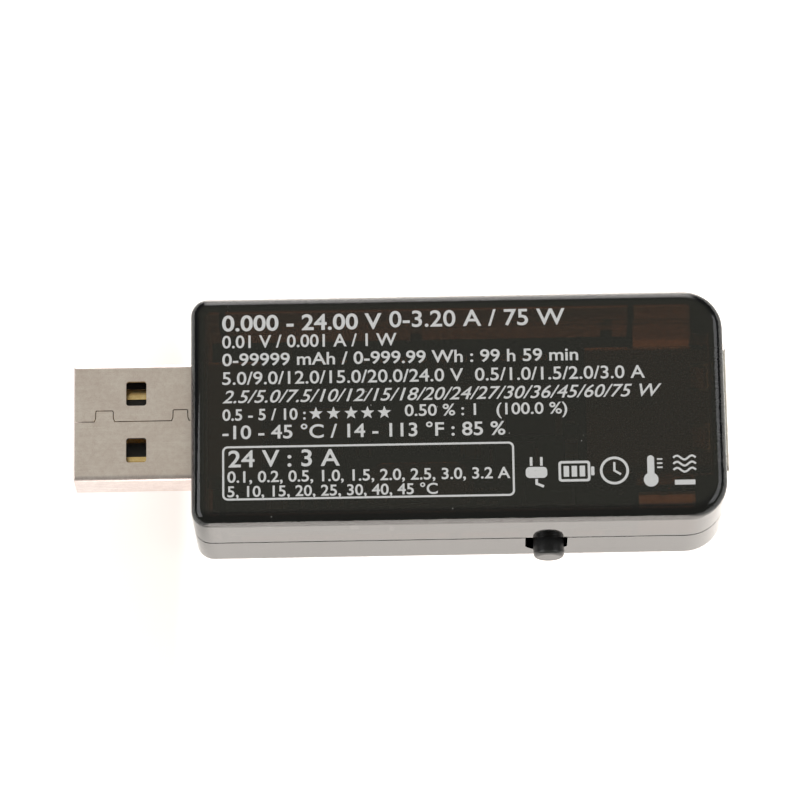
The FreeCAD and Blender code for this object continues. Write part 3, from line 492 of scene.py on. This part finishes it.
def text_mesh(bm, text, x0, x1, baseline, cap, z0, z1, weight=0.0, shear=0.0, spacing=1.0, facing_down=False):
    """Lettering from the built-in font, scaled to a cap height and fitted between x0 and x1, as a closed prism."""
    cu = bpy.data.curves.new("t", "FONT")
    cu.body = text
    cu.size = 1.0
    cu.space_character = spacing
    cu.space_word = 1.0
    cu.resolution_u = 5
    cu.offset = weight
    cu.shear = shear
    cu.fill_mode = "BOTH"
    o = bpy.data.objects.new("t", cu)
    scene.collection.objects.link(o)
    dg = bpy.context.evaluated_depsgraph_get()
    dg.update()
    me = bpy.data.meshes.new_from_object(o.evaluated_get(dg))
    ref = bpy.data.curves.new("r", "FONT")
    ref.body = "0"
    ref.size = 1.0
    ref.offset = weight
    ro = bpy.data.objects.new("r", ref)
    scene.collection.objects.link(ro)
    dg = bpy.context.evaluated_depsgraph_get()
    dg.update()
    rm = bpy.data.meshes.new_from_object(ro.evaluated_get(dg))
    ys = [v.co.y for v in rm.vertices]
    h0, h1 = min(ys), max(ys)
    xs = [v.co.x for v in me.vertices]
    a, b = min(xs), max(xs)
    sx = (x1 - x0) / (b - a)
    sy = cap / (h1 - h0)
    tmp = bmesh.new()
    tmp.from_mesh(me)
    bmesh.ops.remove_doubles(tmp, verts=tmp.verts, dist=1e-5)
    for v in tmp.verts:
        v.co.x = x0 + (v.co.x - a) * sx
        v.co.y = baseline + (v.co.y - h0) * sy
        v.co.z = z1
    bmesh.ops.recalc_face_normals(tmp, faces=tmp.faces)
    up = sum(f.normal.z * f.calc_area() for f in tmp.faces)
    if up < 0:
        bmesh.ops.reverse_faces(tmp, faces=tmp.faces)
    # solid: top faces, copied bottom faces, walls on the outline edges
    vmap = {}
    for v in tmp.verts:
        vmap[v] = (bm.verts.new((v.co.x, v.co.y, z1)), bm.verts.new((v.co.x, v.co.y, z0)))
    for f in tmp.faces:
        bm.faces.new([vmap[v][0] for v in f.verts])
        bm.faces.new([vmap[v][1] for v in reversed(f.verts)])
    for e in tmp.edges:
        if len(e.link_faces) == 1:
            l = e.link_loops[0]
            p, q = l.vert, l.link_loop_next.vert
            bm.faces.new((vmap[q][0], vmap[p][0], vmap[p][1], vmap[q][1]))
    tmp.free()
    for ob in (o, ro):
        bpy.data.objects.remove(ob)
    bpy.data.curves.remove(cu)
    bpy.data.curves.remove(ref)
    bpy.data.meshes.remove(me)
    bpy.data.meshes.remove(rm)
    return sx / sy


rows = [
    ("label_row_1a", "0.000 - 24.00 V", -23.06, -7.35, 7.98, 1.68, 0.020, 0.0, 1.0),
    ("label_row_1b", "0-3.20 A / 75 W", -6.6, 10.67, 8.12, 1.72, 0.012, 0.0, 1.0),
    ("label_row_2", "0.01 V / 0.001 A / 1 W", -23.06, -5.9, 6.24, 1.33, 0.014, 0.0, 1.0),
    ("label_row_3", "0-99999 mAh / 0-999.99 Wh : 99 h 59 min", -23.06, 11.9, 4.40, 1.32, 0.014, 0.0, 1.0),
    ("label_row_4", "5.0/9.0/12.0/15.0/20.0/24.0 V  0.5/1.0/1.5/2.0/3.0 A", -23.06, 18.4, 2.47, 1.34, 0.010, 0.0, 1.0),
    ("label_row_5", "2.5/5.0/7.5/10/12/15/18/20/24/27/30/36/45/60/75 W", -23.06, 20.0, 0.58, 1.32, 0.008, 0.30, 1.0),
    ("label_row_6a", "0.5 - 5 / 10 :", -23.06, -14.9, -1.22, 1.20, 0.018, 0.0, 1.0),
    ("label_row_6b", "0.50 % : 1   (100.0 %)", -5.2, 10.7, -1.05, 1.22, 0.013, 0.0, 1.0),
    ("label_row_7", "-10 - 45 °C / 14 - 113 °F : 85 %", -23.06, 4.6, -3.12, 1.42, 0.014, 0.0, 1.0),
    ("label_box_line_1", "24 V : 3 A", -22.5, -11.6, -6.0, 1.75, 0.014, 0.0, 1.0),
    ("label_box_line_2", "0.1, 0.2, 0.5, 1.0, 1.5, 2.0, 2.5, 3.0, 3.2 A", -22.6, 5.0, -7.55, 1.18, 0.015, 0.0, 1.0),
    ("label_box_line_3", "5, 10, 15, 20, 25, 30, 40, 45 °C", -22.6, -2.1, -9.02, 1.14, 0.015, 0.0, 1.0),
]
for name, text, x0, x1, base, cap, weight, shear, spacing in rows:
    bm = bmesh.new()
    k = text_mesh(bm, text, x0, x1, base, cap, INK_LOW, INK_HIGH, weight, shear, spacing)
    print("ROW", name, "x/y stretch", round(k, 3))
    finish_mesh(bm, name, ink_mat)

bm = bmesh.new()
for i, x in enumerate((-13.9, -12.18, -10.46, -8.85, -7.2)):
    pts = []
    for j in range(10):
        a = math.radians(90 + 36 * j)
        r = 0.70 if j % 2 == 0 else 0.29
        pts.append((x + r * math.cos(a), -0.62 + r * math.sin(a)))
    extrude_outline(bm, pts, INK_LOW, INK_HIGH)
finish_mesh(bm, "label_stars", ink_mat)

bm = bmesh.new()
ring(bm, rounded_rect(-23.1, 5.42, -9.34, -3.82, 0.55), rounded_rect(-22.9, 5.22, -9.14, -4.02, 0.38), INK_LOW, INK_HIGH)
finish_mesh(bm, "label_box_outline", ink_mat)

# five plain pictograms: plug, battery, clock, thermometer, waves over a bar
bm = bmesh.new()
cx, cy = 7.55, -6.95
stroke(bm, [(cx - 0.5, cy + 1.5), (cx - 0.5, cy + 0.62)], 0.26, INK_LOW, INK_HIGH)
stroke(bm, [(cx + 0.5, cy + 1.5), (cx + 0.5, cy + 0.62)], 0.26, INK_LOW, INK_HIGH)
extrude_outline(bm, rounded_rect(cx - 1.05, cx + 1.05, cy - 0.62, cy + 0.5, 0.4), INK_LOW, INK_HIGH)
stroke(bm, [(cx, cy - 0.72), (cx, cy - 1.2), (cx + 0.7, cy - 1.5)], 0.26, INK_LOW, INK_HIGH)
cx = 11.35
ring(bm, rounded_rect(cx - 1.65, cx + 1.45, cy - 1.05, cy + 1.05, 0.3), rounded_rect(cx - 1.4, cx + 1.2, cy - 0.8, cy + 0.8, 0.12), INK_LOW, INK_HIGH)
extrude_outline(bm, rounded_rect(cx + 1.52, cx + 1.85, cy - 0.45, cy + 0.45, 0.1), INK_LOW, INK_HIGH)
for k in range(3):
    extrude_outline(bm, rounded_rect(cx - 1.15 + k * 0.78, cx - 0.62 + k * 0.78, cy - 0.55, cy + 0.55, 0.06), INK_LOW, INK_HIGH)
cx = 15.15
ring(bm, circle(cx, cy, 1.42, 48), circle(cx, cy, 1.16, 48), INK_LOW, INK_HIGH)
stroke(bm, [(cx, cy + 0.85), (cx, cy), (cx + 0.62, cy - 0.4)], 0.22, INK_LOW, INK_HIGH)
cx = 18.7
stem = [(cx - 0.34, cy - 0.35), (cx - 0.34, cy + 1.15)] + circle(cx, cy + 1.15, 0.34, 9, math.pi, 0.0)[1:-1] + [(cx + 0.34, cy + 1.15), (cx + 0.34, cy - 0.35)]
a0 = math.acos(0.34 / 0.72)
bulb = circle(cx, cy - 0.98, 0.72, 30, a0, -math.pi - a0)
extrude_outline(bm, stem[:-1] + [(cx + 0.34, cy - 0.98 + 0.72 * math.sin(a0))] + bulb[1:], INK_LOW, INK_HIGH)
for k in range(3):
    stroke(bm, [(cx + 0.62, cy + 0.25 + 0.42 * k), (cx + 1.15, cy + 0.25 + 0.42 * k)], 0.16, INK_LOW, INK_HIGH)
cx = 22.0
for k in range(3):
    stroke(bm, [(cx - 1.1 + 2.2 * t / 20, cy + 1.2 - 0.62 * k + 0.2 * math.sin(2 * math.pi * 1.5 * t / 20)) for t in range(21)], 0.2, INK_LOW, INK_HIGH)
extrude_outline(bm, [(cx - 1.0, cy - 1.55), (cx + 1.0, cy - 1.55), (cx + 1.0, cy - 1.05), (cx - 1.0, cy - 1.05)], INK_LOW, INK_HIGH)
finish_mesh(bm, "label_pictograms", ink_mat)

# ------------------------------------------------------------------ snap dome, a smooth-shaded copy of the switch dome
dome_mesh = nodes["switch_dome"].data.copy()
dome_mesh.materials.clear()
dome_mesh.materials.append(spring_metal)
dome = bpy.data.objects.new("snap_dome", dome_mesh)
scene.collection.objects.link(dome)
for f in dome_mesh.polygons:
    f.use_smooth = True
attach(dome, BODY)
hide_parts("switch_dome")
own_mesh(dome)

# ------------------------------------------------------------------ resting segments of the display (seen from below)
(px0, py0, pz0), (px1, py1, _) = box_mm("lcd_front_polarizer")
seg_z1, seg_z0 = pz0 + 0.001, pz0 - 0.006
bm = bmesh.new()
mid_x, mid_y = (px0 + px1) / 2, (py0 + py1) / 2


def seg_bar(cx, cy, length, w, vertical, lean):
    h = length / 2
    pts = [(-h, 0), (-h + w / 2, w / 2), (h - w / 2, w / 2), (h, 0), (h - w / 2, -w / 2), (-h + w / 2, -w / 2)]
    if vertical:
        pts = [(-y, x) for x, y in pts]
    # read from below: +X of the reader is +X here, up is -Y
    pts = [(cx + x + lean * (cy + y), cy + y) for x, y in pts]
    extrude_outline(bm, [(x, y) for x, y in pts], seg_z0, seg_z1)


def digit(cx, cy, w, h):
    t = 0.42
    g = 0.06
    for dy in (-h, 0, h):
        seg_bar(cx, cy + dy, w - 2 * g, t, False, 0.0)
    for dx in (-w / 2, w / 2):
        for dy in (-h / 2, h / 2):
            seg_bar(cx + dx, cy + dy, h - 2 * g, t, True, 0.0)


for row_y in (mid_y + 3.0, mid_y - 3.2):
    for i in range(4):
        digit(mid_x - 9.3 + i * 4.4, row_y, 2.2, 1.95)
    extrude_outline(bm, circle(mid_x - 9.3 + 0 * 4.4 + 2.2, row_y - 2.05, 0.26, 12), seg_z0, seg_z1)
    extrude_outline(bm, circle(mid_x - 9.3 + 1 * 4.4 + 2.2, row_y - 2.05, 0.26, 12), seg_z0, seg_z1)
finish_mesh(bm, "display_segments", segment_mat)

# ------------------------------------------------------------------ floor, light, camera
floor_mesh = bpy.data.meshes.new("floor")
bm = bmesh.new()
R = 2.2
zf = -0.00006
vs = [bm.verts.new((x, y, zf)) for x, y in ((-R, -R), (R, -R), (R, R), (-R, R))]
bm.faces.new(vs)
bm.to_mesh(floor_mesh)
bm.free()
floor = bpy.data.objects.new("floor", floor_mesh)
scene.collection.objects.link(floor)
fm = bpy.data.materials.new("floor_white")
fm.use_nodes = True
ft = fm.node_tree
ft.nodes.clear()


def fnode(kind, **kw):
    n = ft.nodes.new(kind)
    for k, v in kw.items():
        setattr(n, k, v)
    return n


def fmath(op, a, b=None, clamp=False):
    n = fnode("ShaderNodeMath", operation=op, use_clamp=clamp)
    for i, v in enumerate((a, b)):
        if isinstance(v, (int, float)):
            n.inputs[i].default_value = v
        elif v is not None:
            ft.links.new(v, n.inputs[i])
    return n.outputs[0]


def fstep(x, lo, hi, a, b):
    n = fnode("ShaderNodeMapRange", interpolation_type="SMOOTHSTEP")
    for k, v in (("From Min", lo), ("From Max", hi), ("To Min", a), ("To Max", b)):
        n.inputs[k].default_value = v
    ft.links.new(x, n.inputs["Value"])
    return n.outputs["Result"]


fc = fnode("ShaderNodeTexCoord")
fs = fnode("ShaderNodeSeparateXYZ")
ft.links.new(fc.outputs["Object"], fs.inputs[0])
X, Y = fs.outputs["X"], fs.outputs["Y"]


def away(x0, x1, y0, y1):
    """Distance outside a rectangle, in metres."""
    ddx = fmath("MAXIMUM", fmath("SUBTRACT", fmath("ABSOLUTE", fmath("SUBTRACT", X, (x0 + x1) / 2)), (x1 - x0) / 2), 0.0)
    ddy = fmath("MAXIMUM", fmath("SUBTRACT", fmath("ABSOLUTE", fmath("SUBTRACT", Y, (y0 + y1) / 2)), (y1 - y0) / 2), 0.0)
    return fmath("SQRT", fmath("ADD", fmath("MULTIPLY", ddx, ddx), fmath("MULTIPLY", ddy, ddy)))


# a white sheet whose glow is painted: brightest in the open, with painted shade right beside the part and painted light
# in places
(clx, cly, _), (chx, chy, _) = (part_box("front_case"))
(plx, ply, _), (phx, phy, _) = (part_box("plug_shell"))
# painted contact shade: the glow falls from 4.0 in the open to 1.5 right beside the case
near_case_painted_shade = fstep(away(clx, chx, cly, chy), 0.0015, 0.026, 1.50, 4.0)
# painted shade at both ends: past about 38 mm from the middle of the case the glow drops to 0.64
beside = fstep(fmath("ABSOLUTE", fmath("SUBTRACT", X, (clx + chx) / 2)), 0.0285, 0.038, 0.0, 1.0)
flp = fnode("ShaderNodeLightPath")
# painted shade: seen through the plastic, the floor in front of the case goes dark
ahead = fstep(Y, cly + 0.0025, cly + 0.0035, 1.0, 0.0)
dim = fmath("SUBTRACT", 1.0, fmath("MULTIPLY", ahead, flp.outputs["Is Transmission Ray"]))
open_floor = fmath("ADD", fmath("MULTIPLY", near_case_painted_shade, fmath("SUBTRACT", 1.0, beside)), fmath("MULTIPLY", beside, 0.64))
# painted shadow around the plug: the glow there drops to 0.63
plug_painted_shadow = fstep(away(plx - 0.001, clx - 0.0025, ply - 0.020, phy + 0.020), 0.0, 0.005, 1.0, 0.0)
open_floor = fmath("ADD", fmath("MULTIPLY", open_floor, fmath("SUBTRACT", 1.0, plug_painted_shadow)), fmath("MULTIPLY", plug_painted_shadow, 0.63))
# painted light: a strong glow of 4.3 right under the case, seen through its plastic
under = fstep(away(clx + 0.0035, chx - 0.001, cly + 0.003, chy - 0.001), 0.0, 0.0009, 1.0, 0.0)
# painted light: a strip of extra glow just behind the case, between x = 15 and 23 mm
behind = fstep(away(0.0150, 0.0230, chy, chy + 0.002), 0.0, 0.0015, 0.8, 0.0)
glow = fmath("ADD", fmath("MULTIPLY", open_floor, fmath("SUBTRACT", 1.0, under)), fmath("ADD", fmath("MULTIPLY", under, 4.3), behind))
# painted shade: the floor right under the case only shows through its plastic, not as a reflection in the face it lies
# on
beneath = fstep(away(clx + 0.0045, chx - 0.0045, cly + 0.0045, chy - 0.0045), 0.0033, 0.0037, 1.0, 0.0)
glow = fmath("MULTIPLY", glow, fmath("SUBTRACT", 1.0, fmath("MULTIPLY", beneath, fmath("SUBTRACT", 1.0, flp.outputs["Is Transmission Ray"]))))
glow = fmath("MULTIPLY", glow, dim)
fo = fnode("ShaderNodeOutputMaterial")
fd = fnode("ShaderNodeBsdfDiffuse")
fd.inputs["Color"].default_value = (0.86, 0.85, 0.84, 1)
fe = fnode("ShaderNodeEmission")
# painted warm tint: the glow is warmer near the part than out at the ends
fcol = fnode("ShaderNodeMix", data_type="RGBA")
ft.links.new(beside, fcol.inputs[0])
fcol.inputs[6].default_value = (1.0, 0.93, 0.87, 1)
fcol.inputs[7].default_value = (1.0, 0.985, 0.95, 1)
ft.links.new(fcol.outputs[2], fe.inputs["Color"])
ft.links.new(glow, fe.inputs["Strength"])
fa = fnode("ShaderNodeAddShader")
tr = fnode("ShaderNodeBsdfTransparent")
fx = fnode("ShaderNodeMixShader")
ge = fnode("ShaderNodeNewGeometry")
ft.links.new(fd.outputs[0], fa.inputs[0])
ft.links.new(fe.outputs[0], fa.inputs[1])
ft.links.new(ge.outputs["Backfacing"], fx.inputs[0])
ft.links.new(fa.outputs[0], fx.inputs[1])
ft.links.new(tr.outputs[0], fx.inputs[2])
ft.links.new(fx.outputs[0], fo.inputs["Surface"])
floor_mesh.materials.append(fm)

world = bpy.data.worlds.new("studio")
scene.world = world
world.use_nodes = True
wt = world.node_tree
wt.nodes.clear()


def wmath(op, a, b=None, clamp=False):
    n = wt.nodes.new("ShaderNodeMath")
    n.operation = op
    n.use_clamp = clamp
    for i, v in enumerate((a, b)):
        if isinstance(v, (int, float)):
            n.inputs[i].default_value = v
        elif v is not None:
            wt.links.new(v, n.inputs[i])
    return n.outputs[0]


def wstep(x, lo, hi, a=0.0, b=1.0):
    n = wt.nodes.new("ShaderNodeMapRange")
    n.interpolation_type = "SMOOTHSTEP"
    for k, v in (("From Min", lo), ("From Max", hi), ("To Min", a), ("To Max", b)):
        n.inputs[k].default_value = v
    wt.links.new(x, n.inputs["Value"])
    return n.outputs["Result"]


def wmix(fac, a, b):
    n = wt.nodes.new("ShaderNodeMix")
    n.data_type = "RGBA"
    for sock, v in ((n.inputs[0], fac), (n.inputs[6], a), (n.inputs[7], b)):
        if isinstance(v, tuple):
            sock.default_value = (*v, 1.0)
        else:
            wt.links.new(v, sock)
    return n.outputs[2]


# studio surroundings: grey ceiling, dark room in front and at the sides, a lit sweep low behind, pale below
wo = wt.nodes.new("ShaderNodeOutputWorld")
bg = wt.nodes.new("ShaderNodeBackground")
tc = wt.nodes.new("ShaderNodeTexCoord")
sp = wt.nodes.new("ShaderNodeSeparateXYZ")
wt.links.new(tc.outputs["Generated"], sp.inputs[0])
DX, DY, DZ = sp.outputs
ceiling = wmix(wstep(DZ, 0.35, 0.93), (0.13, 0.135, 0.14), (0.50, 0.50, 0.425))
ahead = wmix(wstep(DZ, 0.78, 0.975), (0.25, 0.25, 0.225), (0.32, 0.32, 0.29))
ceiling = wmix(wstep(DY, -0.12, 0.24), ahead, ceiling)
sweep = wmath("MULTIPLY", wstep(DZ, 0.36, 0.70, 1.0, 0.0), wstep(DY, 0.25, 0.55))
sweep = wmath("MULTIPLY", sweep, wstep(wmath("ABSOLUTE", DX), 0.12, 0.34, 1.0, 0.0))
room = wmix(sweep, ceiling, (3.5, 3.4, 3.3))
room = wmix(wstep(DZ, -0.03, 0.0, 1.0, 0.0), room, (0.58, 0.575, 0.56))
lp = wt.nodes.new("ShaderNodeLightPath")
seen = wmix(lp.outputs["Is Camera Ray"], room, (0.96, 0.96, 0.96))
wt.links.new(seen, bg.inputs["Color"])
wt.links.new(bg.outputs[0], wo.inputs["Surface"])


def softbox(name, loc, target, size_x, size_y, radiance, color):
    l = bpy.data.lights.new(name, "AREA")
    l.shape = "RECTANGLE"
    l.size, l.size_y = size_x, size_y
    l.energy = radiance * size_x * size_y * math.pi
    l.color = color
    o = bpy.data.objects.new(name, l)
    scene.collection.objects.link(o)
    o.location = loc
    o.rotation_mode = "QUATERNION"
    # the panel's own x runs level, its y climbs
    z = (Vector(loc) - Vector(target)).normalized()
    x = Vector((0.0, 0.0, 1.0)).cross(z).normalized()
    o.rotation_quaternion = Matrix((x, z.cross(x), z)).transposed().to_quaternion()
    return o


softbox("panel_left", (-0.641, -0.090, 0.47), (0, 0, 0.005), 0.68, 0.40, 2.0, (0.97, 0.98, 1.0))
softbox("panel_right", (0.647, 0.020, 0.47), (0, 0, 0.005), 0.95, 0.40, 1.5, (0.97, 0.98, 1.0))

F_PX = 5000.0
ax, ay, az = -0.3047305240450335, -0.008914112262349554, 0.01726011605744907
T = Vector((5.846683, -4.641821, -502.689878)) * MM
Rm = Matrix.Rotation(az, 4, "Z") @ Matrix.Rotation(ay, 4, "Y") @ Matrix.Rotation(ax, 4, "X")
cam_data = bpy.data.cameras.new("camera")
cam_data.sensor_width = 36.0
cam_data.lens = F_PX / 800.0 * 36.0
cam_data.clip_start, cam_data.clip_end = 0.01, 20.0
cam = bpy.data.objects.new("camera", cam_data)
scene.collection.objects.link(cam)
cam.matrix_world = (Matrix.Translation(T) @ Rm).inverted()
scene.camera = cam
scene.view_settings.view_transform = "Standard"
scene.view_settings.look = "None"
scene.view_settings.exposure = 0.0
scene.view_settings.gamma = 1.0
